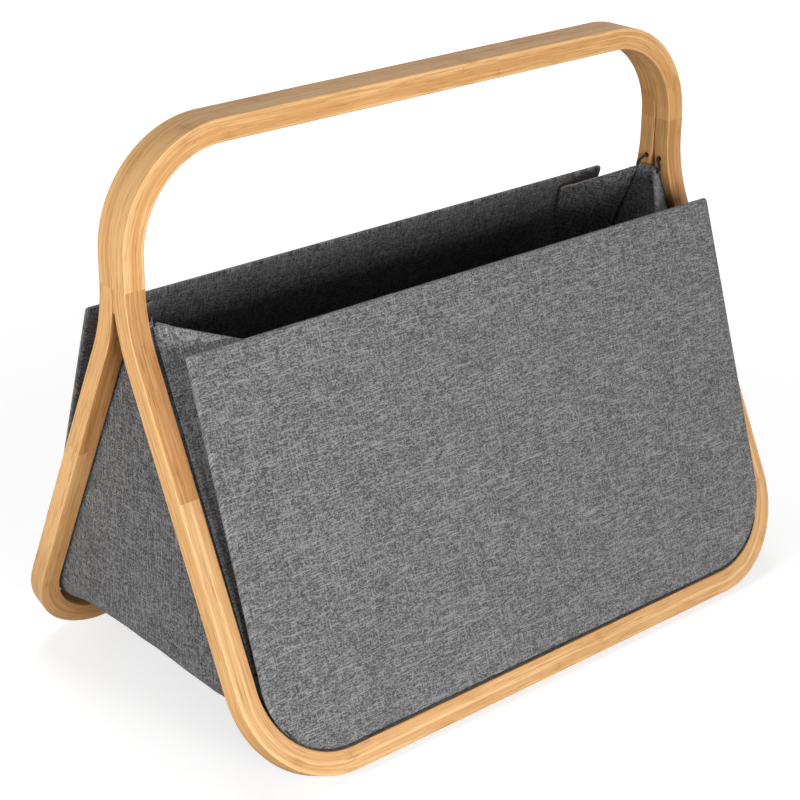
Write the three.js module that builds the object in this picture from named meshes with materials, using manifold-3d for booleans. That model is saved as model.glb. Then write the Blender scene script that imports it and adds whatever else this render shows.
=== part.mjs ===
// A magazine basket: two laminated bamboo hoops, glued side by side along the handle and bent
// apart into an A-frame, with a board-stiffened fabric basket hung between their legs.
// Millimetres, +Z up, +X along the handle, the front towards -Y, origin on the floor.

import * as THREE from 'three';
import * as BufferGeometryUtils from 'three/addons/utils/BufferGeometryUtils.js';
import Module from 'manifold-3d';

const wasm = await Module();
wasm.setup();

// Hoops: each is cut flat as a rounded rectangle, then bent outwards below the handle
const HOOP_WIDTH = 520;
const HOOP_LENGTH = 444;
const BAR_WIDTH = 16;
const BAR_DEPTH = 14;
const ROUND_OUTSIDE = 2.2;
const ROUND_INSIDE = 0.8;
const TOP_RADIUS = 79;
const FOOT_RADIUS = 75;
const BEND_START = 96.5;
const BEND_RADIUS = 119;
const SPLAY = THREE.MathUtils.degToRad(25.4);
const GLUE_GAP = 0.3;
const FOOT_SANDED = 1.2;

// Where the lengths of a hoop are butted together, measured down the hoop from its top
const JOINT_UPPER_LEFT = 99;
const JOINT_UPPER_RIGHT = 81;
const JOINT_LOWER = 240;

// Front and back panels: a fabric pocket over a stiff board, leaning in towards the top
const PANEL_TOP = 284.3;
const PANEL_BOTTOM = 19.9;
const PANEL_AT_FLOOR = 149.5;
const PANEL_LEAN = 0.3265;
const PANEL_HALF_TOP = 244.6;
const PANEL_HALF_FOOT = 243;
const PANEL_CORNER = 57.5;
const FABRIC = 0.8;
const PANEL_BOARD = 2.2;
const SLACK = 0.3;
const PANEL_THICK = 2 * FABRIC + PANEL_BOARD + 2 * SLACK;

// The band: one strip of fabric that makes both ends and the floor of the basket
const BAND_HALF = 242.4;
const BAND_TOP = 286;
const BAND_FLOOR = 17;
const BAND_BOARD = 2;
const BAND_THICK = 2 * FABRIC + BAND_BOARD + 2 * SLACK;
const CREASE_HEIGHT = 62;
const CREASE_RADIUS = 14;
const CHAMFER = THREE.MathUtils.degToRad(55);
const FLOOR_RADIUS = 30;
const END_BOARD_FOOT = 71;
const SEAM_RADIUS_X = 57;
const SEAM_RADIUS_Z = 57.5;
const GUSSET_START = 0.7;

// The fold where an end turns into its two flaps follows the hoops' legs
const HEM_TOP = 297.3;
const FOLD_AT_TOP = 8.5;
const FOLD_SLOPE = 0.452;
const FOLD_END = 66;

// Flaps: stiffened wings that close the wedge between a leg and a panel
const FLAP_TIP = new THREE.Vector3(195.5, 51.3, 278.5);
const FLAP_THICK = 3;
const FLAP_BOARD = 1.2;
const FLAP_TOP = 293.5;
const FLAP_SET_BACK = 0.5;

// Elastic cord that hangs each end from holes in the legs
const CORD = 2.6;
const CORD_HOLE = 4.4;
const HOLE_DEPTH = 10;
const HOLE_Y = 6.5;
const HOLE_Z = 303.3;
const HEM_THICK = 5.4;
const TUNNEL = 3.4;

const BAMBOO = { color: 0xe6b87d, roughness: 0.5, metalness: 0 };
const BAMBOO_DARK = { color: 0xdda768, roughness: 0.5, metalness: 0 };
const CLOTH = { color: 0x7f8082, roughness: 0.9, metalness: 0 };
const LINING = { color: 0x6f7072, roughness: 0.9, metalness: 0 };
const GREYBOARD = { color: 0x8d8880, roughness: 0.95, metalness: 0 };
const ELASTIC = { color: 0x17171a, roughness: 0.7, metalness: 0 };

const basket = new THREE.Group();

function addPiece(name, geometry, look) {
  const material = new THREE.MeshStandardMaterial(look);
  const mesh = new THREE.Mesh(geometry, material);
  mesh.name = name;
  basket.add(mesh);
}

// Solids: joining, cutting and closing

function toSolid(geometry) {
  const bare = geometry.clone();
  bare.deleteAttribute('normal');
  bare.deleteAttribute('uv');
  const merged = BufferGeometryUtils.mergeVertices(bare, 1e-4);
  const vertProperties = new Float32Array(merged.attributes.position.array);
  const triVerts = new Uint32Array(merged.index.array);
  return new wasm.Manifold(new wasm.Mesh({ numProp: 3, vertProperties, triVerts }));
}

function fromSolid(solid) {
  const mesh = solid.getMesh();
  const geometry = new THREE.BufferGeometry();
  geometry.setAttribute('position', new THREE.BufferAttribute(mesh.vertProperties, 3));
  geometry.setIndex(new THREE.BufferAttribute(mesh.triVerts, 1));
  return geometry;
}

function cut(geometry, ...tools) {
  let solid = toSolid(geometry);
  for (const tool of tools) {
    solid = solid.subtract(toSolid(tool));
  }
  return fromSolid(solid);
}

function signedVolume(positions, index) {
  const a = new THREE.Vector3();
  const b = new THREE.Vector3();
  const c = new THREE.Vector3();
  let volume = 0;
  for (let i = 0; i < index.length; i += 3) {
    a.fromArray(positions, 3 * index[i]);
    b.fromArray(positions, 3 * index[i + 1]);
    c.fromArray(positions, 3 * index[i + 2]);
    volume += a.dot(b.cross(c));
  }
  return volume;
}

function facingOut(positions, index) {
  if (signedVolume(positions, index) < 0) {
    for (let i = 0; i < index.length; i += 3) {
      [index[i], index[i + 1]] = [index[i + 1], index[i]];
    }
  }
  const geometry = new THREE.BufferGeometry();
  geometry.setAttribute('position', new THREE.Float32BufferAttribute(positions, 3));
  geometry.setIndex(index);
  return geometry;
}

// Joins equal rings of points into one solid. An end is closed by a strip across the ring,
// between the points that lie opposite each other in it
function loftRings(rings) {
  const count = rings[0].length;
  const points = rings.flat();
  const index = [];
  for (let r = 0; r < rings.length - 1; r += 1) {
    for (let i = 0; i < count; i += 1) {
      const a = r * count + i;
      const b = r * count + (i + 1) % count;
      index.push(a, b, b + count, a, b + count, a + count);
    }
  }
  const last = (rings.length - 1) * count;
  for (let i = 0; i < count / 2 - 1; i += 1) {
    const far = count - 1 - i;
    index.push(i + 1, i, far, i + 1, far, far - 1);
    index.push(last + i, last + i + 1, last + far - 1, last + i, last + far - 1, last + far);
  }
  const positions = points.flatMap((point) => point.toArray());
  return facingOut(positions, index);
}

// Remakes a geometry with its points moved, and turns its faces out again if they were mirrored
function movePoints(geometry, move) {
  const bare = geometry.index ? geometry : BufferGeometryUtils.mergeVertices(geometry);
  const positions = [];
  const point = new THREE.Vector3();
  for (let i = 0; i < bare.attributes.position.count; i += 1) {
    point.fromBufferAttribute(bare.attributes.position, i);
    positions.push(...move(point).toArray());
  }
  return facingOut(positions, Array.from(bare.index.array));
}

// Hoops

const BEND_END = BEND_START + BEND_RADIUS * SPLAY;
const STRAIGHT_TOP_Y = BAR_DEPTH / 2 + BEND_RADIUS * (1 - Math.cos(SPLAY));
const HOOP_HEIGHT = BEND_START + BEND_RADIUS * Math.sin(SPLAY)
  + (HOOP_LENGTH - BEND_END) * Math.cos(SPLAY) + BAR_DEPTH / 2 * Math.sin(SPLAY) - FOOT_SANDED;

// Takes a point of the flat hoop, x across and down from its top, to its place on the bent hoop
function bentPoint(x, down, proud, side) {
  let y = BAR_DEPTH / 2;
  let z = HOOP_HEIGHT - down;
  let turn = 0;
  if (down > BEND_START) {
    turn = Math.min((down - BEND_START) / BEND_RADIUS, SPLAY);
    const run = Math.max(down - BEND_END, 0);
    y += BEND_RADIUS * (1 - Math.cos(turn)) + run * Math.sin(turn);
    z = HOOP_HEIGHT - BEND_START - BEND_RADIUS * Math.sin(turn) - run * Math.cos(turn);
  }
  y += proud * Math.cos(turn) + GLUE_GAP / 2;
  z += proud * Math.sin(turn);
  return new THREE.Vector3(x, side * y, z);
}

// Section of the bar, across it and through its depth. Its outer face has well rounded edges,
// and the face that meets the other hoop has only its corners broken
function barSection() {
  const points = [];
  const corners = [[1, 1], [-1, 1], [-1, -1], [1, -1]];
  corners.forEach(([across, through], quarter) => {
    const round = through > 0 ? ROUND_OUTSIDE : ROUND_INSIDE;
    const steps = through > 0 ? 4 : 2;
    for (let i = 0; i <= steps; i += 1) {
      const angle = (quarter + i / steps) * Math.PI / 2;
      const a = across * (BAR_WIDTH / 2 - round) + round * Math.cos(angle);
      const b = through * (BAR_DEPTH / 2 - round) + round * Math.sin(angle);
      points.push([a, b]);
    }
  });
  return points;
}

const SECTION = barSection();

// A stop on the bar's centre line: its place on the flat hoop and the way out of the hoop
function stop(x, down, outX, outDown) {
  return { x, down, outX, outDown };
}

function cornerStops(radius, centreX, centreDown, from, to) {
  const stops = [];
  const steps = 12;
  for (let i = 0; i <= steps; i += 1) {
    const angle = from + (to - from) * i / steps;
    const outX = Math.cos(angle);
    const outDown = Math.sin(angle);
    stops.push(stop(centreX + radius * outX, centreDown + radius * outDown, outX, outDown));
  }
  return stops;
}

function legStops(sideX, from, to) {
  const x = sideX * (HOOP_WIDTH - BAR_WIDTH) / 2;
  const downs = [from];
  const step = (BEND_END - BEND_START) / 9;
  for (let down = BEND_START; down < BEND_END + 0.001; down += step) {
    if (down > from + 0.5 && down < to - 0.5) {
      downs.push(down);
    }
  }
  downs.push(to);
  return downs.map((down) => stop(x, down, sideX, 0));
}

function sweepBar(stops, side) {
  const rings = stops.map(({ x, down, outX, outDown }) => SECTION.map(
    ([across, proud]) => bentPoint(x + across * outX, down + across * outDown, proud, side),
  ));
  return loftRings(rings);
}

function handleBow(side) {
  const radius = TOP_RADIUS - BAR_WIDTH / 2;
  const centreX = HOOP_WIDTH / 2 - TOP_RADIUS;
  const left = legStops(-1, TOP_RADIUS, JOINT_UPPER_LEFT - SLACK / 2).reverse();
  const right = legStops(1, TOP_RADIUS, JOINT_UPPER_RIGHT - SLACK / 2);
  const stops = [
    ...left.slice(0, -1),
    ...cornerStops(radius, -centreX, TOP_RADIUS, Math.PI, 1.5 * Math.PI),
    ...cornerStops(radius, centreX, TOP_RADIUS, 1.5 * Math.PI, 2 * Math.PI),
    ...right.slice(1),
  ];
  return sweepBar(stops, side);
}

function footBow(side) {
  const radius = FOOT_RADIUS - BAR_WIDTH / 2;
  const centreX = HOOP_WIDTH / 2 - FOOT_RADIUS;
  const centreDown = HOOP_LENGTH - FOOT_RADIUS;
  const left = legStops(-1, JOINT_LOWER + SLACK / 2, centreDown);
  const right = legStops(1, JOINT_LOWER + SLACK / 2, centreDown).reverse();
  const stops = [
    ...left.slice(0, -1),
    ...cornerStops(radius, -centreX, centreDown, Math.PI, Math.PI / 2),
    ...cornerStops(radius, centreX, centreDown, Math.PI / 2, 0),
    ...right.slice(1),
  ];
  const floor = new THREE.BoxGeometry(2 * HOOP_WIDTH, 2 * HOOP_WIDTH, 20);
  floor.translate(0, 0, -10);
  return cut(sweepBar(stops, side), floor);
}

// A leg has a blind hole in its inner face for the elastic cord
function leg(sideX, side) {
  const upper = sideX < 0 ? JOINT_UPPER_LEFT : JOINT_UPPER_RIGHT;
  const bar = sweepBar(legStops(sideX, upper + SLACK / 2, JOINT_LOWER - SLACK / 2), side);
  const drill = new THREE.CylinderGeometry(CORD_HOLE / 2, CORD_HOLE / 2, 2 * HOLE_DEPTH, 16);
  drill.rotateZ(Math.PI / 2);
  drill.translate(sideX * (HOOP_WIDTH / 2 - BAR_WIDTH), side * HOLE_Y, HOLE_Z);
  return cut(bar, drill);
}

for (const [where, side] of [['front', -1], ['back', 1]]) {
  addPiece(`${where}_handle_bow`, handleBow(side), BAMBOO);
  addPiece(`${where}_left_leg`, leg(-1, side), BAMBOO_DARK);
  addPiece(`${where}_right_leg`, leg(1, side), BAMBOO_DARK);
  addPiece(`${where}_foot_bow`, footBow(side), BAMBOO);
}

// Panels

const LEAN_ANGLE = Math.atan(PANEL_LEAN);
const PANEL_RISE = (PANEL_TOP - PANEL_BOTTOM) / Math.cos(LEAN_ANGLE);

// Outline of a panel in its own plane, drawn in by inset, with its foot at foot
function panelShape(inset, foot) {
  const bottom = PANEL_HALF_FOOT - inset;
  const top = PANEL_HALF_TOP - inset;
  const radius = PANEL_CORNER - inset;
  const shape = new THREE.Shape();
  shape.moveTo(radius - bottom, foot);
  shape.lineTo(bottom - radius, foot);
  shape.lineTo(bottom - radius, inset);
  shape.absarc(bottom - radius, inset + radius, radius, 1.5 * Math.PI, 2 * Math.PI, false);
  shape.lineTo(top, PANEL_RISE - inset);
  shape.lineTo(-top, PANEL_RISE - inset);
  shape.absarc(radius - bottom, inset + radius, radius, Math.PI, 1.5 * Math.PI, false);
  return shape;
}

function panelPlate(shape, depth, setBack, bevel) {
  const options = {
    depth: depth - 2 * bevel,
    curveSegments: 14,
    bevelEnabled: bevel > 0,
    bevelThickness: bevel,
    bevelSize: bevel,
    bevelOffset: -bevel,
    bevelSegments: 2,
  };
  const plate = new THREE.ExtrudeGeometry(shape, options);
  plate.translate(0, 0, setBack + bevel);
  return plate;
}

// Stands a plate, drawn from its outer face inwards, in its place on one side of the basket
function standPanel(plate, side) {
  const up = new THREE.Vector3(0, -Math.sin(LEAN_ANGLE), Math.cos(LEAN_ANGLE));
  const inward = new THREE.Vector3(0, -Math.cos(LEAN_ANGLE), -Math.sin(LEAN_ANGLE));
  const foot = new THREE.Vector3(0, PANEL_AT_FLOOR - PANEL_LEAN * PANEL_BOTTOM, PANEL_BOTTOM);
  return movePoints(plate, (point) => {
    const placed = foot.clone().addScaledVector(up, point.y).addScaledVector(inward, point.z);
    return new THREE.Vector3(point.x, side * placed.y, placed.z);
  });
}

// The pocket is open along its foot, where the board goes in before the seam is closed
function panelPocket(side) {
  const outer = panelPlate(panelShape(0, 0), PANEL_THICK, 0, 0.7);
  const room = panelPlate(panelShape(FABRIC + SLACK, -5), PANEL_BOARD + 2 * SLACK, FABRIC, 0);
  return standPanel(cut(outer, room), side);
}

function panelBoard(side) {
  const inset = FABRIC + 2 * SLACK;
  const board = panelPlate(panelShape(inset, inset), PANEL_BOARD, FABRIC + SLACK, 0);
  return standPanel(board, side);
}

for (const [where, side] of [['front', -1], ['back', 1]]) {
  addPiece(`${where}_panel_cover`, panelPocket(side), CLOTH);
  addPiece(`${where}_panel_board`, panelBoard(side), GREYBOARD);
}

// The band that makes the ends and the floor

function foldAt(z) {
  return FOLD_AT_TOP + FOLD_SLOPE * (HEM_TOP - z);
}

function panelInsideAt(z) {
  return PANEL_AT_FLOOR - PANEL_LEAN * z - PANEL_THICK / Math.cos(LEAN_ANGLE);
}

// Half of the band's width in Y: along the fold above, flaring to the panel's seam below it
function bandReach(z) {
  const sewn = panelInsideAt(z) - 2 * SLACK;
  const flare = THREE.MathUtils.smoothstep(z, CREASE_HEIGHT - 20, FOLD_END);
  return THREE.MathUtils.lerp(sewn, foldAt(z) - FLAP_SET_BACK, flare);
}

// A stop on the band's outer profile: its place and the way into the basket
function bandStop(x, z, angle) {
  return { x, z, inX: -Math.cos(angle), inZ: Math.sin(angle) };
}

function arcStops(centreX, centreZ, radiusX, radiusZ, from, to, steps) {
  const stops = [];
  for (let i = 0; i <= steps; i += 1) {
    const angle = from + (to - from) * i / steps;
    const x = centreX + radiusX * Math.cos(angle);
    const z = centreZ - radiusZ * Math.sin(angle);
    stops.push(bandStop(x, z, angle));
  }
  return stops;
}

function wallStops(heights) {
  return heights.map((z) => bandStop(BAND_HALF, z, 0));
}

// Right half of the profile half way between the panels: the end's board stops at a crease,
// and from there the cloth falls away under the end to the floor
function creasedProfile(top) {
  const creaseX = BAND_HALF - CREASE_RADIUS;
  const fallX = creaseX + CREASE_RADIUS * Math.cos(CHAMFER);
  const fallZ = CREASE_HEIGHT - CREASE_RADIUS * Math.sin(CHAMFER);
  const centreZ = BAND_FLOOR + FLOOR_RADIUS;
  const lowZ = centreZ - FLOOR_RADIUS * Math.sin(CHAMFER);
  const lowX = fallX - (fallZ - lowZ) * Math.tan(CHAMFER);
  const centreX = lowX - FLOOR_RADIUS * Math.cos(CHAMFER);
  return [
    bandStop(centreX / 2, BAND_FLOOR, Math.PI / 2),
    ...arcStops(centreX, centreZ, FLOOR_RADIUS, FLOOR_RADIUS, Math.PI / 2, CHAMFER, 5),
    ...arcStops(creaseX, CREASE_HEIGHT, CREASE_RADIUS, CREASE_RADIUS, CHAMFER, 0, 6),
    ...wallStops([FOLD_END, FOLD_END + 12, 120, 200, top]),
  ];
}

// Right half of the profile along a seam, where the cloth follows the panel's round corner
function sewnProfile(top) {
  const centreX = BAND_HALF - SEAM_RADIUS_X;
  const centreZ = BAND_FLOOR + SEAM_RADIUS_Z;
  return [
    bandStop(centreX / 2, BAND_FLOOR, Math.PI / 2),
    ...arcStops(centreX, centreZ, SEAM_RADIUS_X, SEAM_RADIUS_Z, Math.PI / 2, 0, 12),
    ...wallStops([centreZ + 1.5, centreZ + 8, 120, 200, top]),
  ];
}

function wholeProfile(right) {
  const left = right.map(({ x, z, inX, inZ }) => ({ x: -x, z, inX: -inX, inZ }));
  return [...left.reverse(), ...right];
}

// A point of the band: across is -1 at the front seam and 1 at the back one
function bandPoint(creased, sewn, across, setIn) {
  const share = THREE.MathUtils.smoothstep(Math.abs(across), GUSSET_START, 1);
  const x = THREE.MathUtils.lerp(creased.x + setIn * creased.inX, sewn.x + setIn * sewn.inX, share);
  const z = THREE.MathUtils.lerp(creased.z + setIn * creased.inZ, sewn.z + setIn * sewn.inZ, share);
  return new THREE.Vector3(x, across * bandReach(z), z);
}

// One layer of the band, set in from its outer face
function bandLayer(setIn, thick, top) {
  const creased = wholeProfile(creasedProfile(top));
  const sewn = wholeProfile(sewnProfile(top));
  const columns = [-1, -0.92, -0.84, -0.74, 0, 0.74, 0.84, 0.92, 1];
  const rings = creased.map((stop, i) => {
    const outer = columns.map((across) => bandPoint(stop, sewn[i], across, setIn));
    const inner = columns.map((across) => bandPoint(stop, sewn[i], across, setIn + thick));
    return [...outer, ...inner.reverse()];
  });
  return loftRings(rings);
}

const BOARD_SET_IN = FABRIC + SLACK;
const LINING_SET_IN = BOARD_SET_IN + BAND_BOARD + SLACK;

addPiece('band_cover', bandLayer(0, FABRIC, BAND_TOP), CLOTH);
addPiece('band_lining', bandLayer(LINING_SET_IN, FABRIC, BAND_TOP), LINING);

function endBoard(sideX) {
  const edge = 2;
  const outer = BAND_HALF - BOARD_SET_IN;
  const rings = [END_BOARD_FOOT, BAND_TOP - edge].map((z) => {
    const reach = bandReach(z) - edge;
    return [
      new THREE.Vector3(sideX * outer, -reach, z),
      new THREE.Vector3(sideX * outer, reach, z),
      new THREE.Vector3(sideX * (outer - BAND_BOARD), reach, z),
      new THREE.Vector3(sideX * (outer - BAND_BOARD), -reach, z),
    ];
  });
  return loftRings(rings);
}

function floorBoard() {
  const half = creasedProfile(BAND_TOP)[1].x - 1;
  const low = BAND_FLOOR + BOARD_SET_IN;
  const reach = bandReach(low + BAND_BOARD) - 2;
  const board = new THREE.BoxGeometry(2 * half, 2 * reach, BAND_BOARD);
  board.translate(0, 0, low + BAND_BOARD / 2);
  return board;
}

addPiece('left_end_board', endBoard(-1), GREYBOARD);
addPiece('right_end_board', endBoard(1), GREYBOARD);
addPiece('floor_board', floorBoard(), GREYBOARD);

// Hems: the top of each end is folded over into a tunnel and stitched down

const TUNNEL_X = BAND_HALF - HEM_THICK / 2;
const TUNNEL_Z = HEM_TOP - 3.6;

function hem(sideX) {
  const low = BAND_TOP + SLACK;
  const high = HEM_TOP;
  const out = BAND_HALF;
  const inside = BAND_HALF - HEM_THICK;
  const round = 2.4;
  const shape = new THREE.Shape();
  shape.moveTo(inside + 1.2, low);
  shape.lineTo(out, low);
  shape.lineTo(out, high - round);
  shape.absarc(out - round, high - round, round, 0, Math.PI / 2, false);
  shape.lineTo(inside + round, high);
  shape.absarc(inside + round, high - round, round, Math.PI / 2, Math.PI, false);
  shape.lineTo(inside, low + 4);
  const tunnel = new THREE.Path();
  tunnel.absarc(TUNNEL_X, TUNNEL_Z, TUNNEL / 2, 0, 2 * Math.PI, true);
  shape.holes.push(tunnel);
  const bar = new THREE.ExtrudeGeometry(shape, { depth: 1, bevelEnabled: false, curveSegments: 6 });
  bar.deleteAttribute('normal');
  bar.deleteAttribute('uv');
  return movePoints(BufferGeometryUtils.mergeVertices(bar), (point) => {
    const reach = foldAt(point.y) - FLAP_SET_BACK;
    return new THREE.Vector3(sideX * point.x, (2 * point.z - 1) * reach, point.y);
  });
}

addPiece('left_hem', hem(-1), CLOTH);
addPiece('right_hem', hem(1), CLOTH);

// Cords: out of one leg, through the hem and into the other leg

function cordRoute(sideX) {
  const legFace = HOOP_WIDTH / 2 - BAR_WIDTH;
  const half = [
    [legFace + HOLE_DEPTH - 1, HOLE_Y, HOLE_Z],
    [legFace + 1, HOLE_Y, HOLE_Z],
    [legFace - 2.2, HOLE_Y + 0.7, HOLE_Z - 0.7],
    [TUNNEL_X, foldAt(TUNNEL_Z) + 2.6, TUNNEL_Z + 4.2],
    [TUNNEL_X, foldAt(TUNNEL_Z) + 2.6, TUNNEL_Z + 1],
    [TUNNEL_X, foldAt(TUNNEL_Z) - 0.4, TUNNEL_Z],
    [TUNNEL_X, 2, TUNNEL_Z],
  ];
  const back = half.map(([x, y, z]) => new THREE.Vector3(sideX * x, y, z));
  const front = half.map(([x, y, z]) => new THREE.Vector3(sideX * x, -y, z));
  return new THREE.CatmullRomCurve3([...back, ...front.reverse()], false, 'centripetal');
}

function cord(sideX) {
  const section = new THREE.Shape();
  section.absarc(0, 0, CORD / 2, 0, 2 * Math.PI, false);
  return new THREE.ExtrudeGeometry(section, {
    steps: 30,
    curveSegments: 4,
    bevelEnabled: false,
    extrudePath: cordRoute(sideX),
  });
}

addPiece('left_cord', cord(-1), ELASTIC);
addPiece('right_cord', cord(1), ELASTIC);

// Flaps: each is a pocket over a thin board, open along the fold, and swings about the fold

const FOLD_X = BAND_HALF - HEM_THICK;
const FOLD_TOP_POINT = new THREE.Vector3(FOLD_X, FOLD_AT_TOP, HEM_TOP);
const FOLD_DOWN = new THREE.Vector3(0, FOLD_SLOPE, -1).normalize();
const TIP_FROM_TOP = FLAP_TIP.clone().sub(FOLD_TOP_POINT);
const TIP_ALONG = TIP_FROM_TOP.dot(FOLD_DOWN);
const FLAP_ACROSS = TIP_FROM_TOP.clone().addScaledVector(FOLD_DOWN, -TIP_ALONG).normalize();
const TIP_ACROSS = TIP_FROM_TOP.dot(FLAP_ACROSS);
const FLAP_OUT = FLAP_ACROSS.clone().cross(FOLD_DOWN).normalize();

// Corners of a flap in its own plane: across from the fold, and down along it
function flapShape(inset, foldEdge) {
  const topStart = (HEM_TOP - FLAP_TOP) / -FOLD_DOWN.z;
  const end = (HEM_TOP - FOLD_END) / -FOLD_DOWN.z;
  const lean = (TIP_ALONG - topStart) / TIP_ACROSS;
  const lowAcross = 6;
  const round = 2.2;
  const shape = new THREE.Shape();
  const tip = [TIP_ACROSS - inset, TIP_ALONG + inset];
  shape.moveTo(foldEdge, topStart + foldEdge * lean + inset);
  shape.lineTo(tip[0] - round, tip[1] - round * lean);
  shape.quadraticCurveTo(tip[0], tip[1], tip[0] - 0.3, tip[1] + round);
  shape.lineTo(lowAcross - inset, end - inset);
  shape.lineTo(foldEdge, end - inset);
  return shape;
}

function flapPlate(shape, thick, setIn, sideX, side) {
  const plate = new THREE.ExtrudeGeometry(shape, { depth: thick, bevelEnabled: false, curveSegments: 5 });
  return movePoints(plate, (point) => {
    const placed = FOLD_TOP_POINT.clone()
      .addScaledVector(FLAP_ACROSS, point.x)
      .addScaledVector(FOLD_DOWN, point.y)
      .addScaledVector(FLAP_OUT, setIn + point.z);
    return new THREE.Vector3(sideX * placed.x, side * placed.y, placed.z);
  });
}

const FLAP_FABRIC = (FLAP_THICK - FLAP_BOARD - 2 * SLACK) / 2;

function flapPocket(sideX, side) {
  const outer = flapPlate(flapShape(0, FLAP_SET_BACK), FLAP_THICK, 0, sideX, side);
  const inset = FLAP_FABRIC + SLACK;
  const room = flapPlate(flapShape(inset, -3), FLAP_BOARD + 2 * SLACK, FLAP_FABRIC, sideX, side);
  return cut(outer, room);
}

function flapBoard(sideX, side) {
  const inset = FLAP_FABRIC + 2 * SLACK;
  return flapPlate(flapShape(inset, 2), FLAP_BOARD, FLAP_FABRIC + SLACK, sideX, side);
}

for (const [end, sideX] of [['left', -1], ['right', 1]]) {
  for (const [where, side] of [['front', -1], ['back', 1]]) {
    addPiece(`${end}_${where}_flap_cover`, flapPocket(sideX, side), CLOTH);
    addPiece(`${end}_${where}_flap_board`, flapBoard(sideX, side), GREYBOARD);
  }
}

export default basket;
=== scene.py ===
import math

import bmesh
import bpy
from mathutils import Matrix, Vector, noise


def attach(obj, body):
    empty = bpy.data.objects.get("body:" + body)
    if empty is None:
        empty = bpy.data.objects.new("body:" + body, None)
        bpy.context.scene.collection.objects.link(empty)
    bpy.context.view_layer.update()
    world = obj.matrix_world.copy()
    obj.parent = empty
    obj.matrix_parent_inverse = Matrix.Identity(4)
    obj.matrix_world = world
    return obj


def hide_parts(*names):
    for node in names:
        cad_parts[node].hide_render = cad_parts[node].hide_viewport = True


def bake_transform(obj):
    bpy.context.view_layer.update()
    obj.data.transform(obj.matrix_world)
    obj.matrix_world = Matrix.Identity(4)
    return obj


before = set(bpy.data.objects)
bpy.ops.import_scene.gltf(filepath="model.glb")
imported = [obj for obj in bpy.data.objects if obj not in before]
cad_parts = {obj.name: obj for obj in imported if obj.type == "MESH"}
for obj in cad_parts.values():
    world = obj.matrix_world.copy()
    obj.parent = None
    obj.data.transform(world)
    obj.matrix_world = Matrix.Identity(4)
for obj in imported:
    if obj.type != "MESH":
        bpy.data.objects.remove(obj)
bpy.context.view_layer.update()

scene = bpy.context.scene


# Camera
# It stands to the left of the basket's front, a little above the handle, and has a long lens,
# so the handle and the foot bars run nearly parallel across the picture.

CAMERA_PLACE = (-0.949521, -1.042843, 0.780462)
CAMERA_TURN = math.radians(-41.805)
CAMERA_RISE = math.radians(23.518)
CAMERA_ROLL = math.radians(0.404)

camera_lens = bpy.data.cameras.new("camera")
camera_lens.lens = 94.756
camera_lens.sensor_width = 36.0
camera = bpy.data.objects.new("camera", camera_lens)
scene.collection.objects.link(camera)
scene.camera = camera

turns = ((CAMERA_TURN, "Z"), (math.pi / 2 - CAMERA_RISE, "X"), (CAMERA_ROLL, "Z"))
aim = Matrix.Translation(CAMERA_PLACE)
for angle, axis in turns:
    aim = aim @ Matrix.Rotation(angle, 4, axis)
camera.matrix_world = aim


# Bamboo hoops
# Two hoops of pressed bamboo layers, each cut as a flat rounded rectangle of 16 by 14 mm bar,
# butt-jointed from four lengths and bent outwards below the handle, where both are glued together.
# Sizes are in millimetres here and below, and new_piece turns them into metres.

MILLIMETRE = 0.001
HOOP_WIDTH = 520
HOOP_LENGTH = 444
BAR_WIDTH = 16
BAR_DEPTH = 14
ROUND_OUTSIDE = 0.8
ROUND_INSIDE = 1.7
ROUND_SEAM = 0.35
ROUND_GLUED = 0.1
ROUND_STEPS = 6
FLAT_MARGIN = 0.25
TOP_RADIUS = 79
FOOT_RADIUS = 75
CORNER_STEPS = 30
BEND_START = 96.5
BEND_RADIUS = 119
BEND_STEPS = 24
STOPS_ABOVE_BEND = (82, 86, 90)
SPLAY = math.radians(25.4)
BEND_END = BEND_START + BEND_RADIUS * SPLAY
GLUE_GAP = 0.3
PARTING = (58, 76)
FOOT_SANDED = 1.2
HOOP_HEIGHT = (BEND_START + BEND_RADIUS * math.sin(SPLAY)
               + (HOOP_LENGTH - BEND_END) * math.cos(SPLAY)
               + BAR_DEPTH / 2 * math.sin(SPLAY) - FOOT_SANDED)
JOINT_UPPER = {-1: 99, 1: 81}
JOINT_LOWER = 240
JOINT_GAP = 0.06
HOLE_Y = 6.5
HOLE_Z = 303.3
HOLE_RADIUS = 2.2
HOLE_DEPTH = 10
HOLE_SIDES = 24
HOLE_ROOM = 4


def mix(a, b, share):
    return a + (b - a) * share


def ease(value, low, high):
    share = min(max((value - low) / (high - low), 0.0), 1.0)
    return share * share * (3 - 2 * share)


def net_faces(rings, count, step=0, first=0, closed=True):
    """Faces between rings of count points; step is the way from one ring's first point to the next's."""
    step = step or count
    faces = []
    for base in range(first, first + (rings - 1) * step, step):
        for i in range(count if closed else count - 1):
            j = (i + 1) % count
            faces.append((base + i, base + j, base + step + j, base + step + i))
    return faces


def bar_faces(rings, count, first=0):
    """Faces of a solid bar of closed rings, with its two ends."""
    last = first + (rings - 1) * count
    ends = [tuple(range(start, start + count)) for start in (first, last)]
    return net_faces(rings, count, first=first) + ends


def lengths_along(places):
    """How far along a line of places each of them lies."""
    run = [0.0]
    for a, b in zip(places, places[1:]):
        run.append(run[-1] + math.dist(a, b))
    return run


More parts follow.
